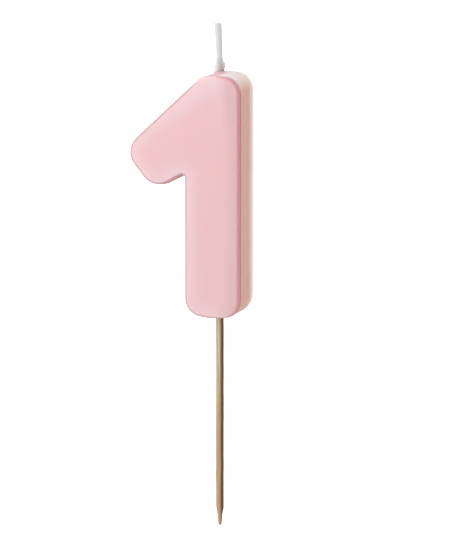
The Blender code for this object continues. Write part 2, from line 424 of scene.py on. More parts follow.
def front_layer_profile():
    """Edge of the front layer, from its hidden rear face round to the middle of the front."""
    step, draft, edge, dip = 0.30 * MM, 0.10 * MM, 0.40 * MM, 0.11 * MM
    rear = SEAM_Y - 0.03 * MM
    brow = (step + draft + edge, FACE_Y + dip + edge)
    return (
        [(CAP_INSET, rear), (0.9 * MM, rear)]
        + arc_profile((step + 0.12 * MM, rear - 0.12 * MM), 0.12 * MM, 0.12 * MM, 90, 180, 4)
        + [(step + 0.02 * MM, SEAM_Y - 0.9 * MM), (step + 0.06 * MM, SEAM_Y - 1.6 * MM)]
        + arc_profile(brow, edge, edge, 180, 265, 7)
        + [
            (1.5 * MM, FACE_Y + 0.55 * dip),
            (2.3 * MM, FACE_Y + 0.22 * dip),
            (3.2 * MM, FACE_Y + 0.05 * dip),
            (CAP_INSET, FACE_Y),
        ]
    )


def rear_body_profile():
    """Edge of the rear body: hidden front face, proud lip, straight side, soft rear edge."""
    lip, wall, width, depth = 0.16 * MM, 0.06 * MM, 1.6 * MM, 4.0 * MM
    front = SEAM_Y + 0.03 * MM
    return (
        [(CAP_INSET, front), (0.9 * MM, front)]
        + arc_profile((lip, front + lip), lip, lip, 270, 180, 4)
        + [(0.02 * MM, front + 0.34 * MM), (wall, front + 0.6 * MM)]
        + arc_profile((wall + width, BACK_Y - depth), width, depth, 180, 90, 16)
        + [(3.1 * MM, BACK_Y - 0.02 * MM), (CAP_INSET, BACK_Y - 0.08 * MM)]
    )


def raise_meniscus(work, wick_height):
    """Let the wax climb the wick at the top and the pick at the bottom."""
    near = [
        edge for edge in work.edges
        if all(math.hypot(v.co.x, v.co.y) < MENISCUS_REACH for v in edge.verts)
    ]
    bmesh.ops.subdivide_edges(work, edges=near, cuts=2, use_grid_fill=True)
    for vert in work.verts:
        reach = math.hypot(vert.co.x, vert.co.y)
        if vert.co.z > FIGURE_TOP - 1.0 * MM:
            drop = max(0.0, reach - COAT_RADIUS)
            vert.co.z += wick_height * math.exp(-drop / WICK_FADE)
        elif vert.co.z < 0.6 * MM:
            drop = max(0.0, reach - PICK_RADIUS)
            vert.co.z -= PICK_CLIMB * math.exp(-drop / PICK_FADE)


def bore_cutter():
    """The stepped bore along the axis: pick socket, wick channel and a wider mouth for the coat."""
    socket, channel, mouth = PICK_RADIUS + 0.03 * MM, BRAID_HIGH.x + 0.15 * MM, COAT_RADIUS + 0.02 * MM
    profile = [
        (0, FIGURE_TOP + 3 * MM),
        (mouth, FIGURE_TOP + 3 * MM),
        (mouth, FIGURE_TOP - 1.2 * MM),
        (channel, FIGURE_TOP - 1.2 * MM),
        (channel, PICK_HIGH.z + 0.3 * MM),
        (socket, PICK_HIGH.z + 0.3 * MM),
        (socket, -2 * MM),
        (0, -2 * MM),
    ]
    work = bmesh.new()
    verts = [work.verts.new((radius, 0, z)) for radius, z in profile]
    edges = [work.edges.new(pair) for pair in zip(verts, verts[1:])]
    bmesh.ops.spin(
        work, geom=verts + edges, axis=(0, 0, 1), cent=(0, 0, 0), angle=math.tau, steps=40,
        use_merge=True,
    )
    bmesh.ops.remove_doubles(work, verts=work.verts, dist=0.001 * MM)
    bmesh.ops.recalc_face_normals(work, faces=work.faces)
    return mesh_object("bore_cutter", work)


def bored(item):
    """Cut the stepped bore out of the rear body."""
    cutter = bore_cutter()
    cut = item.modifiers.new("bore", "BOOLEAN")
    cut.operation = "DIFFERENCE"
    cut.solver = "EXACT"
    cut.object = cutter
    baked(item)
    bpy.data.objects.remove(cutter, do_unlink=True)
    item.data.shade_smooth()
    item.data.set_sharp_from_angle(angle=math.radians(50))
    return item


def lean(z):
    """Sideways place of the wick's middle: it leaves the wax upright and leans to the left."""
    above = max(0.0, z - LEAN_START) / (COAT_HIGH.z - LEAN_START)
    return -LEAN_REACH * (0.65 * above + 0.35 * above * above)


def tube_rings(work, heights, steps, radius_at):
    """Rings round the leaning wick; radius_at gives the radius for an angle and a height."""
    rings = []
    for z in heights:
        ring = []
        for step in range(steps):
            angle = math.tau * step / steps
            radius = radius_at(angle, z)
            spot = (lean(z) + radius * math.cos(angle), radius * math.sin(angle), z)
            ring.append(work.verts.new(spot))
        rings.append(ring)
    return rings


def plait_relief(angle, z, pitch):
    """How much the plait under the wax swells it, from -1 to 1."""
    turn = math.tau * z / pitch
    return math.cos(angle) * math.sin(turn) * 0.6 + math.cos(2 * angle) * math.sin(2 * turn) * 0.4


def coat_radius(angle, z, pitch):
    """Outer radius of the wax coat: the plait shows through, and the wax lies unevenly."""
    round_trip = Vector((math.cos(angle), math.sin(angle), z / (2.2 * MM)))
    uneven = noise.noise(round_trip * 1.3)
    flare = 0.15 * MM * smooth_step((z - COAT_HIGH.z + FLARE_LENGTH) / FLARE_LENGTH)
    relief = 0.02 * MM * plait_relief(angle, z, pitch) + 0.025 * MM * uneven
    return COAT_RADIUS - 0.03 * MM + flare + relief


def wick_coat(pitch):
    """A thin sleeve of wax, open at its cut end, where the plait shows."""
    work = bmesh.new()
    low, high, inner = FIGURE_TOP - 1.0 * MM, COAT_HIGH.z - 0.1 * MM, BRAID_HIGH.x + 0.09 * MM
    rise = [low + (high - low) * k / COAT_RINGS for k in range(COAT_RINGS + 1)]
    outer = tube_rings(work, rise, COAT_SIDES, lambda a, z: coat_radius(a, z, pitch))
    lip = tube_rings(
        work, [high + 0.03 * MM], COAT_SIDES,
        lambda a, z: (coat_radius(a, z, pitch) + inner) / 2,
    )
    bore = tube_rings(work, rise[::-1], COAT_SIDES, lambda a, z: inner)
    loft(work, outer + lip + bore + [outer[0]])
    bmesh.ops.recalc_face_normals(work, faces=work.faces)
    return mesh_object("wick_coat_skin", work)


def collar_radius(angle, z):
    """A broad lobe on the left, a narrow and taller flake on the right, and a slight foot."""
    above = z - FIGURE_TOP
    right = max(0.0, math.cos(angle - FLAKE_SIDE)) ** 16
    left = max(0.0, -math.cos(angle - FLAKE_SIDE)) ** 2
    flake = right * smooth_step((FLAKE_TOP - above) / (0.7 * MM)) * FLAKE_DEPTH
    flake *= 0.55 + 0.45 * smooth_step((above - 0.6 * MM) / (1.4 * MM))
    lobe = left * smooth_step((LOBE_TOP - above) / (0.5 * MM)) * LOBE_DEPTH
    foot = COLLAR_FOOT * math.exp(-max(0.0, above - 0.2 * MM) / (0.5 * MM))
    rough = 0.05 * MM * noise.noise(Vector((2 * math.cos(angle), 2 * math.sin(angle), z / MM)))
    return COAT_RADIUS + 0.01 * MM + flake + lobe + foot + rough


def wick_collar():
    """The ragged skirt of wax that the wick drew up as it was pulled straight."""
    work = bmesh.new()
    low, high, inner = FIGURE_TOP - 0.25 * MM, COLLAR_HIGH.z + 0.35 * MM, COAT_RADIUS - 0.01 * MM
    rise = [low + (high - low) * k / COLLAR_RINGS for k in range(COLLAR_RINGS + 1)]
    outer = tube_rings(work, rise, COLLAR_SIDES, collar_radius)
    bore = tube_rings(work, rise[::-1], COLLAR_SIDES, lambda a, z: inner)
    loft(work, outer + bore + [outer[0]])
    bmesh.ops.recalc_face_normals(work, faces=work.faces)
    return mesh_object("wick_collar_skin", work)


def pick_radius_at(angle, z, look):
    """Radius of the pick: nearly round with fine flutes, and a point ground by a machine."""
    grain = noise.noise(Vector((9 * math.cos(angle), 9 * math.sin(angle), z / (14 * MM))))
    wander = noise.noise(Vector((1.4 * math.cos(angle), 1.4 * math.sin(angle), z / (8 * MM))))
    radius = PICK_RADIUS * (0.975 + 0.012 * wander) + 0.02 * MM * grain
    above = z - PICK_LOW.z
    low, waist = look.point_radius, look.waist_radius
    ground = low + (waist - low) * above / look.waist_height
    if above > look.waist_height:
        rise = (above - look.waist_height) / (look.point_length - look.waist_height)
        ground = waist + (PICK_RADIUS - waist) * rise
    ground *= 1 + 0.05 * math.cos(2 * angle + 0.6) + 0.05 * math.cos(angle)
    ground *= 0.7 + 0.3 * math.sqrt(min(1.0, above / (0.35 * MM)))
    turn = (angle - NICK_SIDE + math.pi) % math.tau - math.pi
    nick = (above - NICK_HEIGHT - NICK_SLANT * turn) / (0.2 * MM)
    scar = NICK_DEPTH * math.exp(-nick * nick - (turn / 0.45) ** 2)
    return min(radius, ground) - scar


def pick_body(look):
    """The bamboo stick, from its square end inside the wax to its blunt point."""
    work = bmesh.new()
    heights = [PICK_LOW.z + 0.09 * MM * k for k in range(5)]
    heights += [PICK_LOW.z + 0.2 * MM * k for k in range(2, 50)]
    rest = PICK_HIGH.z - heights[-1]
    heights += [heights[-1] + rest * k / PICK_RINGS for k in range(1, PICK_RINGS + 1)]
    rings = []
    for z in heights:
        ring = []
        for step in range(PICK_SIDES):
            angle = math.tau * step / PICK_SIDES
            radius = pick_radius_at(angle, z, look)
            ring.append(work.verts.new((radius * math.cos(angle), radius * math.sin(angle), z)))
        rings.append(ring)
    loft(work, rings)
    work.faces.new(rings[0])
    work.faces.new(rings[-1])
    bmesh.ops.recalc_face_normals(work, faces=work.faces)
    item = mesh_object("pick_skin", work)
    item.data.set_sharp_from_angle(angle=math.radians(60))
    return item


def add_node(tree, kind, inputs=None, **settings):
    """Add a node, set its properties, then set or link its inputs."""
    node = tree.nodes.new(kind)
    for name, value in settings.items():
        setattr(node, name, value)
    for socket, value in (inputs or {}).items():
        if isinstance(value, bpy.types.NodeSocket):
            tree.links.new(value, node.inputs[socket])
        else:
            node.inputs[socket].default_value = value
    return node


def new_material(name):
    """An empty node material and its node tree."""
    material = bpy.data.materials.new(name)
    material.use_nodes = True
    material.node_tree.nodes.clear()
    return material, material.node_tree


def ramp_between(tree, value, start, end, low, high):
    """A smooth Map Range from start-end to low-high; returns its output socket."""
    node = add_node(
        tree, "ShaderNodeMapRange", {0: value, 1: start, 2: end, 3: low, 4: high},
        interpolation_type="SMOOTHSTEP",
    )
    return node.outputs[0]


def mix_colours(tree, share, first, second):
    """Mix two colours; returns the output socket."""
    node = add_node(tree, "ShaderNodeMix", {0: share, 6: first, 7: second}, data_type="RGBA")
    return node.outputs[2]


def wax_surface(tree, colour, place):
    """Satin, translucent wax: light spreads a millimetre or two inside it, red light farthest."""
    film = add_node(
        tree, "ShaderNodeTexNoise", {"Vector": place, "Scale": 1 / (4 * MM), "Detail": 2.0}
    )
    pores = add_node(
        tree, "ShaderNodeTexNoise", {"Vector": place, "Scale": 1 / (0.5 * MM), "Detail": 2.0}
    )
    bump = add_node(
        tree, "ShaderNodeBump",
        {"Height": pores.outputs["Fac"], "Strength": 0.12, "Distance": 0.02 * MM},
    )
    shader = add_node(
        tree, "ShaderNodeBsdfPrincipled",
        {
            "Base Color": colour, "IOR": 1.44, "Normal": bump.outputs["Normal"],
            "Roughness": ramp_between(tree, film.outputs["Fac"], 0.3, 0.7, 0.34, 0.44),
            "Subsurface Weight": 1.0, "Subsurface Radius": (1.8, 1.0, 0.9),
            "Subsurface Scale": MM,
        },
    )
    add_node(tree, "ShaderNodeOutputMaterial", {"Surface": shader.outputs["BSDF"]})


def dyed_paraffin(look):
    """Dyed paraffin poured in a smooth mould: translucent satin with faint cloudy mottling.

    The dye reads deepest in the middle. A band inside the rim is a painted highlight, palest where
    light comes in from the sides; on the right the band turns to a painted dusky rose shade. Towards
    the top the painted pale band widens. The sharp edge and the side wall carry painted shade in a
    deeper pink, with a greyer painted dark line on the crest of the left edges and a painted pale
    highlight over the crown.
    """
    material, tree = new_material("dyed_paraffin")
    place = add_node(tree, "ShaderNodeTexCoord").outputs["Object"]
    depth = add_node(tree, "ShaderNodeAttribute", attribute_name="rim_depth").outputs["Fac"]
    clouds = add_node(
        tree, "ShaderNodeTexNoise", {"Vector": place, "Scale": 1 / (9 * MM), "Detail": 3.0}
    ).outputs["Fac"]
    parts = add_node(tree, "ShaderNodeSeparateXYZ", {0: place}).outputs
    # Painted highlight: the pale band inside the rim widens towards the top.
    head = ramp_between(tree, parts["Z"], FIGURE_TOP - 19 * MM, FIGURE_TOP, 0.0, -4.0 * MM)
    inner = add_node(tree, "ShaderNodeMath", {0: depth, 1: head}, operation="ADD").outputs[0]
    wander = add_node(
        tree, "ShaderNodeMath", {0: clouds, 1: 3.0 * MM, 2: inner}, operation="MULTIPLY_ADD"
    ).outputs[0]
    # The band inside the rim mixes painted highlight on the left with painted shade on the right.
    band = ramp_between(tree, wander, 1.2 * MM, 8.0 * MM, 1.0, 0.0)
    right = ramp_between(tree, parts["X"], 1.0 * MM, 6.0 * MM, 0.0, 1.0)
    rim = mix_colours(tree, right, tuple(look.front_painted_highlight), tuple(look.front_painted_shade))
    body = mix_colours(tree, band, tuple(look.front_colour), rim)
    # Painted shade along the sharp edge and down the side wall, reaching wider on the left.
    left = ramp_between(tree, parts["X"], -3.0 * MM, 7.0 * MM, 1.0, 0.0)
    outer = add_node(
        tree, "ShaderNodeMath", {0: left, 1: -0.40 * MM, 2: depth}, operation="MULTIPLY_ADD"
    ).outputs[0]
    line = ramp_between(tree, outer, 0.25 * MM, 0.80 * MM, 1.0, 0.0)
    # Painted shade: a greyer dark line along the crest of the left edges.
    crest = ramp_between(tree, parts["Y"], FACE_Y + 0.4 * MM, FACE_Y + 1.1 * MM, 1.0, 0.0)
    drawn = add_node(tree, "ShaderNodeMath", {0: crest, 1: left}, operation="MULTIPLY").outputs[0]
    edge = mix_colours(tree, drawn, tuple(look.front_edge_shade_and_stain), tuple(look.front_crest_shade))
    # Over the crown the painted edge shade gives way to painted top light in the pale highlight colour.
    high = ramp_between(tree, parts["Z"], FIGURE_TOP - 5.0 * MM, FIGURE_TOP - 0.8 * MM, 0.0, 0.9)
    inland = ramp_between(tree, parts["X"], 0.5 * MM, 4.5 * MM, 1.0, 0.0)
    crown = add_node(tree, "ShaderNodeMath", {0: high, 1: inland}, operation="MULTIPLY").outputs[0]
    edge = mix_colours(tree, crown, edge, tuple(look.front_painted_highlight))
    wax_surface(tree, mix_colours(tree, line, body, edge), place)
    return material


def natural_paraffin(look):
    """Undyed paraffin, peach from the dye that bled into it.

    A pale cream of painted light lies on the open top, where light falls from above, and a painted
    rim light runs along the rear edge. The wick drew dye up into a pink halo round itself, and the
    front pour spilled over on its left.
    """
    material, tree = new_material("natural_paraffin")
    place = add_node(tree, "ShaderNodeTexCoord").outputs["Object"]
    parts = add_node(tree, "ShaderNodeSeparateXYZ", {0: place}).outputs
    clouds = add_node(
        tree, "ShaderNodeTexNoise", {"Vector": place, "Scale": 1 / (6 * MM), "Detail": 3.0}
    ).outputs["Fac"]
    lift = add_node(
        tree, "ShaderNodeMath", {0: clouds, 1: 2.5 * MM, 2: parts["Z"]}, operation="MULTIPLY_ADD"
    ).outputs[0]
    back = add_node(
        tree, "ShaderNodeMath", {0: clouds, 1: 1.5 * MM, 2: parts["Y"]}, operation="MULTIPLY_ADD"
    ).outputs[0]
    # Painted light: cream on the open top, and a painted rim light along the rear edge.
    top = ramp_between(tree, lift, FIGURE_TOP - 4.2 * MM, FIGURE_TOP + 0.6 * MM, 0.0, 1.0)
    rear = ramp_between(tree, back, BACK_Y - 6.0 * MM, BACK_Y - 2.0 * MM, 0.0, 1.0)
    painted_light = add_node(tree, "ShaderNodeMath", {0: top, 1: rear}, operation="MAXIMUM").outputs[0]
    body = mix_colours(tree, painted_light, tuple(look.rear_colour), tuple(look.rear_lit_cream))
    tip = add_node(tree, "ShaderNodeMapping", {"Vector": place, "Location": (0, 0, -FIGURE_TOP)})
    reach = add_node(
        tree, "ShaderNodeVectorMath", {0: tip.outputs["Vector"]}, operation="LENGTH"
    ).outputs["Value"]
    halo = ramp_between(tree, reach, 1.0 * MM, 3.2 * MM, 0.95, 0.0)
    drift = add_node(
        tree, "ShaderNodeMath", {0: clouds, 1: 1.6 * MM, 2: parts["X"]}, operation="MULTIPLY_ADD"
    ).outputs[0]
    left = ramp_between(tree, drift, 1.6 * MM, 3.6 * MM, 1.0, 0.0)
    high = ramp_between(tree, parts["Z"], FIGURE_TOP - 9.0 * MM, FIGURE_TOP - 4.0 * MM, 0.0, 1.0)
    front = ramp_between(tree, back, 1.0 * MM, 4.0 * MM, 0.9, 0.0)
    shed = add_node(tree, "ShaderNodeMath", {0: left, 1: high}, operation="MULTIPLY").outputs[0]
    spill = add_node(tree, "ShaderNodeMath", {0: shed, 1: front}, operation="MULTIPLY").outputs[0]
    stain = add_node(tree, "ShaderNodeMath", {0: halo, 1: spill}, operation="MAXIMUM").outputs[0]
    wax_surface(tree, mix_colours(tree, stain, body, tuple(look.halo_colour)), place)
    return material


def priming_wax(name, colour, stain, low, high):
    """White microcrystalline wax that stiffens the wick: dense, satin, a little translucent.

    Between the heights low and high it fades from the stain of the dyed wax, strongest on the
    right, to its own white.
    """
    material, tree = new_material(name)
    place = add_node(tree, "ShaderNodeTexCoord").outputs["Object"]
    parts = add_node(tree, "ShaderNodeSeparateXYZ", {0: place})
    lift = add_node(
        tree, "ShaderNodeMapRange", {0: parts.outputs["Z"], 1: low, 2: high, 3: 1.0, 4: 0.0}
    )
    side = add_node(
        tree, "ShaderNodeMapRange",
        {0: parts.outputs["X"], 1: -0.6 * MM, 2: 1.1 * MM, 3: 0.05, 4: 1.0},
    )
    amount = add_node(
        tree, "ShaderNodeMath", {0: lift.outputs[0], 1: side.outputs[0]}, operation="MULTIPLY"
    )
    tint = add_node(
        tree, "ShaderNodeMix", {0: amount.outputs[0], 6: colour, 7: stain}, data_type="RGBA"
    )
    grain = add_node(
        tree, "ShaderNodeTexNoise", {"Vector": place, "Scale": 1 / (0.6 * MM), "Detail": 3.0}
    )
    bump = add_node(
        tree, "ShaderNodeBump",
        {"Height": grain.outputs["Fac"], "Strength": 0.3, "Distance": 0.03 * MM},
    )
    gloss = add_node(
        tree, "ShaderNodeMapRange", {0: grain.outputs["Fac"], 1: 0.3, 2: 0.7, 3: 0.42, 4: 0.55}
    )
    shader = add_node(
        tree, "ShaderNodeBsdfPrincipled",
        {
            "Base Color": tint.outputs[2], "Roughness": gloss.outputs[0], "IOR": 1.44,
            "Normal": bump.outputs["Normal"], "Subsurface Weight": 0.3,
            "Subsurface Radius": (0.6, 0.5, 0.5), "Subsurface Scale": MM,
        },
    )
    add_node(tree, "ShaderNodeOutputMaterial", {"Surface": shader.outputs["BSDF"]})
    return material


def bleached_cotton(colour):
    """Bleached cotton yarn: matt, fuzzy, with the fine twist of its fibres."""
    material, tree = new_material("bleached_cotton")
    place = add_node(tree, "ShaderNodeTexCoord").outputs["Object"]
    twist = add_node(
        tree, "ShaderNodeTexWave",
        {"Vector": place, "Scale": 1 / (0.5 * MM), "Distortion": 2.0, "Detail": 2.0},
        bands_direction="DIAGONAL",
    )
    shade = add_node(
        tree, "ShaderNodeMix",
        {0: twist.outputs["Fac"], 6: tuple(0.72 * c for c in colour[:3]) + (1.0,), 7: colour},
        data_type="RGBA",
    )
    bump = add_node(
        tree, "ShaderNodeBump",
        {"Height": twist.outputs["Fac"], "Strength": 0.5, "Distance": 0.03 * MM},
    )
    shader = add_node(
        tree, "ShaderNodeBsdfPrincipled",
        {
            "Base Color": shade.outputs[2], "Roughness": 0.92, "IOR": 1.47,
            "Sheen Weight": 0.25, "Normal": bump.outputs["Normal"],
        },
    )
    add_node(tree, "ShaderNodeOutputMaterial", {"Surface": shader.outputs["BSDF"]})
    return material


def split_bamboo(look):
    """Bare bamboo, split and drawn through a round die: long fibre bundles in paler pith.

    The bundles run the whole length, 0.1 to 0.3 mm wide. A dark brown band of painted shade runs
    down the side turned away from the lamps, and the whole stick is a little browner near its point.
    """
    material, tree = new_material("split_bamboo")
    place = add_node(tree, "ShaderNodeTexCoord").outputs["Object"]
    stretched = add_node(
        tree, "ShaderNodeMapping",
        {"Vector": place, "Scale": (1 / (0.45 * MM), 1 / (0.45 * MM), 1 / (18 * MM))},
    ).outputs["Vector"]
    bundles = add_node(
        tree, "ShaderNodeTexNoise",
        {"Vector": stretched, "Scale": 1.0, "Detail": 4.0, "Roughness": 0.6},
    ).outputs["Fac"]
    share = ramp_between(tree, bundles, 0.36, 0.68, 0.0, 1.0)
    wood = mix_colours(tree, share, tuple(look.pale_colour), tuple(look.dark_colour))
    # Painted shade: a dark brown band down the right side of the pick, away from the lamps.
    across = add_node(
        tree, "ShaderNodeVectorMath",
        {0: place, 1: (math.cos(SHADED_SIDE), math.sin(SHADED_SIDE), 0)}, operation="DOT_PRODUCT",
    ).outputs["Value"]
    wavy = add_node(
        tree, "ShaderNodeMath", {0: bundles, 1: 0.5 * MM, 2: across}, operation="MULTIPLY_ADD"
    ).outputs[0]
    skin = ramp_between(tree, wavy, 0.42 * MM, 0.88 * MM, 0.0, 1.0)
    height = add_node(tree, "ShaderNodeSeparateXYZ", {0: place}).outputs["Z"]
    low = ramp_between(tree, height, -14 * MM, -42 * MM, 0.0, 0.7)
    aged = mix_colours(tree, low, wood, tuple(look.aged_colour))
    painted_shade_wood = mix_colours(tree, skin, aged, tuple(look.painted_shade_colour))
    bump = add_node(
        tree, "ShaderNodeBump", {"Height": bundles, "Strength": 0.6, "Distance": 0.03 * MM}
    )
    shader = add_node(
        tree, "ShaderNodeBsdfPrincipled",
        {
            "Base Color": painted_shade_wood, "Roughness": ramp_between(tree, bundles, 0.3, 0.7, 0.5, 0.7),
            "IOR": 1.5, "Normal": bump.outputs["Normal"],
        },
    )
    add_node(tree, "ShaderNodeOutputMaterial", {"Surface": shader.outputs["BSDF"]})
    return material


def geometry_tree(name, sockets):
    """A Geometry Nodes tree with named inputs, and the sockets of its group input."""
    tree = bpy.data.node_groups.new(name, "GeometryNodeTree")
    tree.interface.new_socket("Geometry", in_out="INPUT", socket_type="NodeSocketGeometry")
    for socket, kind in sockets.items():
        tree.interface.new_socket(socket, in_out="INPUT", socket_type=kind)
    tree.interface.new_socket("Geometry", in_out="OUTPUT", socket_type="NodeSocketGeometry")
    return tree, add_node(tree, "NodeGroupInput").outputs


def grown(name, tree, values):
    """Run a Geometry Nodes tree on an empty object and keep the result as a plain mesh."""
    item = bpy.data.objects.new(name, bpy.data.meshes.new(name))
    bpy.context.scene.collection.objects.link(item)
    modifier = item.modifiers.new(name, "NODES")
    modifier.node_group = tree
    for socket in tree.interface.items_tree:
        if socket.in_out == "INPUT" and socket.name in values:
            modifier[socket.identifier] = values[socket.name]
    return baked(item)


def close_tree(tree, geometry, material):
    """End a tree in Realize Instances and Set Material."""
    real = add_node(tree, "GeometryNodeRealizeInstances", {"Geometry": geometry})
    soft = add_node(tree, "GeometryNodeSetShadeSmooth", {"Geometry": real.outputs["Geometry"]})
    dressed = add_node(
        tree, "GeometryNodeSetMaterial",
        {"Geometry": soft.outputs["Geometry"], "Material": material},
    )
    add_node(tree, "NodeGroupOutput", {"Geometry": dressed.outputs["Geometry"]})


def plait_tree():
    """Strands that weave over and under each other along Z, as in a three-strand plait."""
    tree, given = geometry_tree(
        "plaited_strands",
        {
            "Strands": "NodeSocketInt", "Length": "NodeSocketFloat", "Pitch": "NodeSocketFloat",
            "Half Width": "NodeSocketFloat", "Half Depth": "NodeSocketFloat",
            "Strand Radius": "NodeSocketFloat", "Points": "NodeSocketInt",
            "Material": "NodeSocketMaterial",
        },
    )

    def math_node(operation, first, second):
        return add_node(tree, "ShaderNodeMath", {0: first, 1: second}, operation=operation).outputs[0]

    line = add_node(tree, "GeometryNodeCurvePrimitiveLine", {"End": (0, 0, 1)})
    fine = add_node(
        tree, "GeometryNodeResampleCurve", {"Curve": line.outputs[0], "Count": given["Points"]}
    )
    copies = add_node(
        tree, "GeometryNodeDuplicateElements",
        {"Geometry": fine.outputs[0], "Amount": given["Strands"]}, domain="SPLINE",
    )
    share = add_node(tree, "GeometryNodeSplineParameter").outputs["Factor"]
    height = math_node("MULTIPLY", share, given["Length"])
    turns = math_node("DIVIDE", height, given["Pitch"])
    start = math_node("DIVIDE", copies.outputs["Duplicate Index"], given["Strands"])
    phase = math_node("MULTIPLY", math_node("ADD", turns, start), math.tau)
    across = math_node("MULTIPLY", math_node("SINE", phase, 0.0), given["Half Width"])
    twice = math_node("MULTIPLY", phase, 2.0)
    deep = math_node("MULTIPLY", math_node("SINE", twice, 0.0), given["Half Depth"])
    spot = add_node(tree, "ShaderNodeCombineXYZ", {0: across, 1: deep, 2: height})
    woven = add_node(
        tree, "GeometryNodeSetPosition",
        {"Geometry": copies.outputs["Geometry"], "Position": spot.outputs[0]},
    )
    section = add_node(
        tree, "GeometryNodeCurvePrimitiveCircle",
        {"Resolution": 10, "Radius": given["Strand Radius"]},
    )
    yarn = add_node(
        tree, "GeometryNodeCurveToMesh",
        {"Curve": woven.outputs[0], "Profile Curve": section.outputs[0], "Fill Caps": True},
    )
    close_tree(tree, yarn.outputs[0], given["Material"])
    return tree


def fibre_tree():
    """Long thin fibre bundles scattered over a round stick, a hair proud of its surface."""
    tree, given = geometry_tree(
        "bamboo_fibres",
        {
            "Count": "NodeSocketInt", "Bottom": "NodeSocketFloat", "Top": "NodeSocketFloat",
            "Stick Radius": "NodeSocketFloat", "Fibre Width": "NodeSocketFloat",
            "Shortest": "NodeSocketFloat", "Longest": "NodeSocketFloat",
            "Seed": "NodeSocketInt", "Material": "NodeSocketMaterial",
        },
    )

    def random_value(low, high, offset):
        seed = add_node(tree, "ShaderNodeMath", {0: given["Seed"], 1: offset}, operation="ADD")
        return add_node(
            tree, "FunctionNodeRandomValue", {2: low, 3: high, "Seed": seed.outputs[0]},
            data_type="FLOAT",
        ).outputs[1]

    points = add_node(tree, "GeometryNodePoints", {"Count": given["Count"]})
    angle = random_value(0.0, math.tau, 0)
    height = random_value(given["Bottom"], given["Top"], 1)
    around = [
        add_node(tree, "ShaderNodeMath", {0: angle}, operation=name).outputs[0]
        for name in ("COSINE", "SINE")
    ]
    flat = [
        add_node(
            tree, "ShaderNodeMath", {0: part, 1: given["Stick Radius"]}, operation="MULTIPLY"
        ).outputs[0]
        for part in around
    ]
    spot = add_node(tree, "ShaderNodeCombineXYZ", {0: flat[0], 1: flat[1], 2: height})
    placed = add_node(
        tree, "GeometryNodeSetPosition",
        {"Geometry": points.outputs[0], "Position": spot.outputs[0]},
    )
    half = random_value(given["Shortest"], given["Longest"], 2)
    size = add_node(
        tree, "ShaderNodeCombineXYZ", {0: given["Fibre Width"], 1: given["Fibre Width"], 2: half}
    )
    bundle = add_node(tree, "GeometryNodeMeshIcoSphere", {"Radius": 0.5, "Subdivisions": 2})
    spread = add_node(
        tree, "GeometryNodeInstanceOnPoints",
        {"Points": placed.outputs[0], "Instance": bundle.outputs[0], "Scale": size.outputs[0]},
    )
    close_tree(tree, spread.outputs[0], given["Material"])
    return tree


class CANDLE_OT_front_layer(bpy.types.Operator):
    """Pour the dyed front layer of the figure"""

    bl_idname = "candle.front_layer"
    bl_label = "Front Wax Layer"

    def execute(self, context):
        wax = context.scene.candle_wax
        work = slab(front_layer_profile())
        ripple(work, wax.wave_height, wavelength=9 * MM, seed=3.0)
        layer = mesh_object("front_layer_skin", work)
        mark_rim_depth(layer)
        finish_piece(layer, dyed_paraffin(wax), ["front_wax_layer"])
        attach(layer, "candle")
        return {"FINISHED"}


class CANDLE_OT_rear_body(bpy.types.Operator):
    """Pour the paler rear body, with the bore for pick and wick"""

    bl_idname = "candle.rear_body"
    bl_label = "Rear Wax Body"

    def execute(self, context):
        wax = context.scene.candle_wax
        work = slab(rear_body_profile())
        ripple(work, wax.wave_height, wavelength=8 * MM, seed=11.0)
        raise_meniscus(work, wax.meniscus_height)
        body = bored(mesh_object("rear_body_skin", work))
        finish_piece(body, natural_paraffin(wax), ["rear_wax_body"])
        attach(body, "candle")
        return {"FINISHED"}


class CANDLE_OT_wick(bpy.types.Operator):
    """Plait the cotton wick and dip it in priming wax"""

    bl_idname = "candle.wick"
    bl_label = "Wick"

    def execute(self, context):
        look = context.scene.candle_wick
        bottom, top = BRAID_LOW.z, COAT_HIGH.z - 0.05 * MM
        cotton = bleached_cotton(tuple(look.cotton_colour))
        values = {
            "Strands": look.strands, "Length": top - bottom, "Pitch": look.pitch,
            "Half Width": 0.28 * MM, "Half Depth": 0.13 * MM,
            "Strand Radius": look.strand_radius, "Points": 300, "Material": cotton,
        }
        plait = grown("wick_plait", plait_tree(), values)
        for vert in plait.data.vertices:
            vert.co.z += bottom
            vert.co.x += lean(vert.co.z)
        finish_piece(plait, cotton, ["wick_braid_lower", "wick_braid_tip"])
        coat = wick_coat(look.pitch)
        white = tuple(look.wax_colour)
        finish_piece(
            coat, priming_wax("priming_wax", white, white, FIGURE_TOP, FIGURE_TOP + MM),
            ["wick_wax_coat"],
        )
        for piece in (plait, coat):
            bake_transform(piece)
        return {"FINISHED"}


class CANDLE_OT_collar(bpy.types.Operator):
    """Shape the skirt of wax at the foot of the wick"""

    bl_idname = "candle.collar"
    bl_label = "Wick Collar"

    def execute(self, context):
        white = tuple(context.scene.candle_wick.collar_colour)
        # The collar's pink stain borrows the deep pink of the painted edge shade.
        stain = tuple(context.scene.candle_wax.front_edge_shade_and_stain)
        collar = wick_collar()
        material = priming_wax("collar_wax", white, stain, FIGURE_TOP + 0.4 * MM, FIGURE_TOP + 2.6 * MM)
        finish_piece(collar, material, ["wick_wax_collar"])
        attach(collar, "candle")
        return {"FINISHED"}


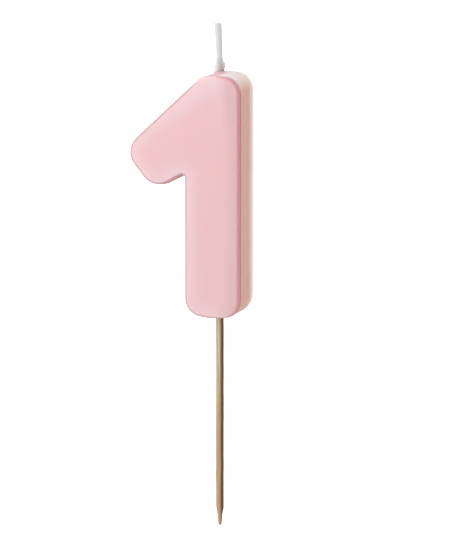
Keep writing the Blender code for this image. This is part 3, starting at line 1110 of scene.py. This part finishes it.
class CANDLE_OT_pick(bpy.types.Operator):
    """Cut the bamboo pick and raise its fibres"""

    bl_idname = "candle.pick"
    bl_label = "Bamboo Pick"

    def execute(self, context):
        look = context.scene.candle_pick
        bamboo = split_bamboo(look)
        pick = pick_body(look)
        finish_piece(pick, bamboo, ["bamboo_pick"])
        values = {
            "Count": look.fibres, "Bottom": PICK_LOW.z + look.point_length + 5 * MM,
            "Top": -6 * MM, "Stick Radius": PICK_RADIUS * 0.965, "Fibre Width": 0.09 * MM,
            "Shortest": 3 * MM, "Longest": 9 * MM, "Seed": 7, "Material": bamboo,
        }
        fibres = grown("pick_fibres", fibre_tree(), values)
        finish_piece(fibres, bamboo, [])
        for piece in (pick, fibres):
            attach(piece, "candle")
        return {"FINISHED"}


# Studio lights: name, azimuth and elevation in degrees, distance and size in metres, radiance.
LIGHTS = [
    ("key_softbox", -50, 12, 0.35, 0.34, 0.70),
    ("high_key_softbox", -50, 45, 0.35, 0.25, 0.89),
    ("left_strip", -82, 0, 0.30, 0.25, 0.37),
    ("front_fill", -20, 25, 0.45, 0.40, 0.80),
]
LIGHTS_AIM = Vector((0, 0, 40 * MM))
SURROUND = 0.78


def direction(azimuth, elevation):
    """Unit vector towards a place; azimuth 0 is the front, positive to the right."""
    flat = math.cos(elevation)
    return Vector((math.sin(azimuth) * flat, -math.cos(azimuth) * flat, math.sin(elevation)))


def aim(item, place, target):
    """Put a light or a camera somewhere and turn it towards a target."""
    item.location = place
    item.rotation_euler = (target - place).to_track_quat("-Z", "Y").to_euler()


def add_camera(studio):
    """A long lens at the chosen angle, aimed a little to the right of the pick's axis."""
    data = bpy.data.cameras.new("camera")
    data.lens = studio.lens
    data.clip_end = 20.0
    distance = VIEW_HEIGHT / 2 / math.tan(math.atan(data.sensor_width / 2 / data.lens))
    camera = bpy.data.objects.new("camera", data)
    bpy.context.scene.collection.objects.link(camera)
    out = direction(studio.azimuth, studio.elevation)
    right = Vector((math.cos(studio.azimuth), math.sin(studio.azimuth), 0))
    middle = Vector((0, 0, VIEW_CENTRE_Z)) + right * VIEW_SHIFT_RIGHT
    aim(camera, middle + out * distance, middle)
    bpy.context.scene.camera = camera


def add_light(name, azimuth, elevation, distance, size, radiance):
    """A square softbox that faces the figure; radiance sets its watts from its area.

    Its glare is taken out, as a polariser does, so no edge burns out to white.
    """
    data = bpy.data.lights.new(name, "AREA")
    data.size = size
    data.energy = radiance * math.pi * size * size
    light = bpy.data.objects.new(name, data)
    light.visible_camera = False
    light.visible_glossy = False
    bpy.context.scene.collection.objects.link(light)
    place = LIGHTS_AIM + direction(math.radians(azimuth), math.radians(elevation)) * distance
    aim(light, place, LIGHTS_AIM)


def add_surround(strength):
    """White all round: seen as white, and lighting the candle more softly than it looks."""
    world = bpy.data.worlds.new("studio_surround")
    bpy.context.scene.world = world
    world.use_nodes = True
    tree = world.node_tree
    tree.nodes.clear()
    seen = add_node(tree, "ShaderNodeLightPath").outputs["Is Camera Ray"]
    level = add_node(tree, "ShaderNodeMapRange", {0: seen, 1: 0.0, 2: 1.0, 3: strength, 4: 1.0})
    glow = add_node(tree, "ShaderNodeBackground", {"Strength": level.outputs[0]})
    glow.inputs["Color"].default_value = (1, 1, 1, 1)
    add_node(tree, "ShaderNodeOutputWorld", {"Surface": glow.outputs[0]})


def add_floor():
    """A pale floor under the point of the pick, evenly lit from below like a light table."""
    work = bmesh.new()
    bmesh.ops.create_grid(work, x_segments=8, y_segments=8, size=6.0)
    floor = mesh_object("floor", work)
    floor.location.z = PICK_LOW.z - 0.5 * MM
    material, tree = new_material("light_table")
    shader = add_node(
        tree, "ShaderNodeBsdfPrincipled",
        {
            "Base Color": (0.9, 0.9, 0.9, 1), "Roughness": 0.8,
            "Emission Color": (1, 1, 1, 1), "Emission Strength": 0.8,
        },
    )
    add_node(tree, "ShaderNodeOutputMaterial", {"Surface": shader.outputs["BSDF"]})
    floor.data.materials.append(material)
    floor.visible_diffuse = False
    floor.visible_glossy = False
    floor.visible_shadow = False


class CANDLE_OT_studio(bpy.types.Operator):
    """Set up the floor, the soft lights and the camera"""

    bl_idname = "candle.studio"
    bl_label = "Studio"

    def execute(self, context):
        context.scene.view_settings.view_transform = "Standard"
        add_floor()
        add_surround(SURROUND)
        for row in LIGHTS:
            add_light(*row)
        add_camera(context.scene.candle_studio)
        return {"FINISHED"}


STEPS = (
    CANDLE_OT_front_layer,
    CANDLE_OT_rear_body,
    CANDLE_OT_wick,
    CANDLE_OT_collar,
    CANDLE_OT_pick,
    CANDLE_OT_studio,
)


class CANDLE_PT_panel(bpy.types.Panel):
    """Lists the steps that build the candle"""

    bl_idname = "CANDLE_PT_panel"
    bl_label = "Number Birthday Candle"
    bl_space_type = "VIEW_3D"
    bl_region_type = "UI"
    bl_category = "Candle"

    def draw(self, context):
        for step in STEPS:
            self.layout.operator(step.bl_idname)


GROUPS = {
    "candle_wax": CandleWax,
    "candle_wick": CandleWick,
    "candle_pick": CandlePick,
    "candle_studio": CandleStudio,
}
CLASSES = (*GROUPS.values(), *STEPS, CANDLE_PT_panel)


def register():
    """Register the classes and hang the property groups on the scene."""
    for item in CLASSES:
        bpy.utils.register_class(item)
    for name, group in GROUPS.items():
        setattr(bpy.types.Scene, name, bpy.props.PointerProperty(type=group))


def unregister():
    """Take the property groups and the classes away again."""
    for name in GROUPS:
        delattr(bpy.types.Scene, name)
    for item in reversed(CLASSES):
        bpy.utils.unregister_class(item)


def main():
    register()
    bpy.ops.candle.front_layer()
    bpy.ops.candle.rear_body()
    bpy.ops.candle.wick()
    bpy.ops.candle.collar()
    bpy.ops.candle.pick()
    bpy.ops.candle.studio()


if __name__ == "__main__":
    main()
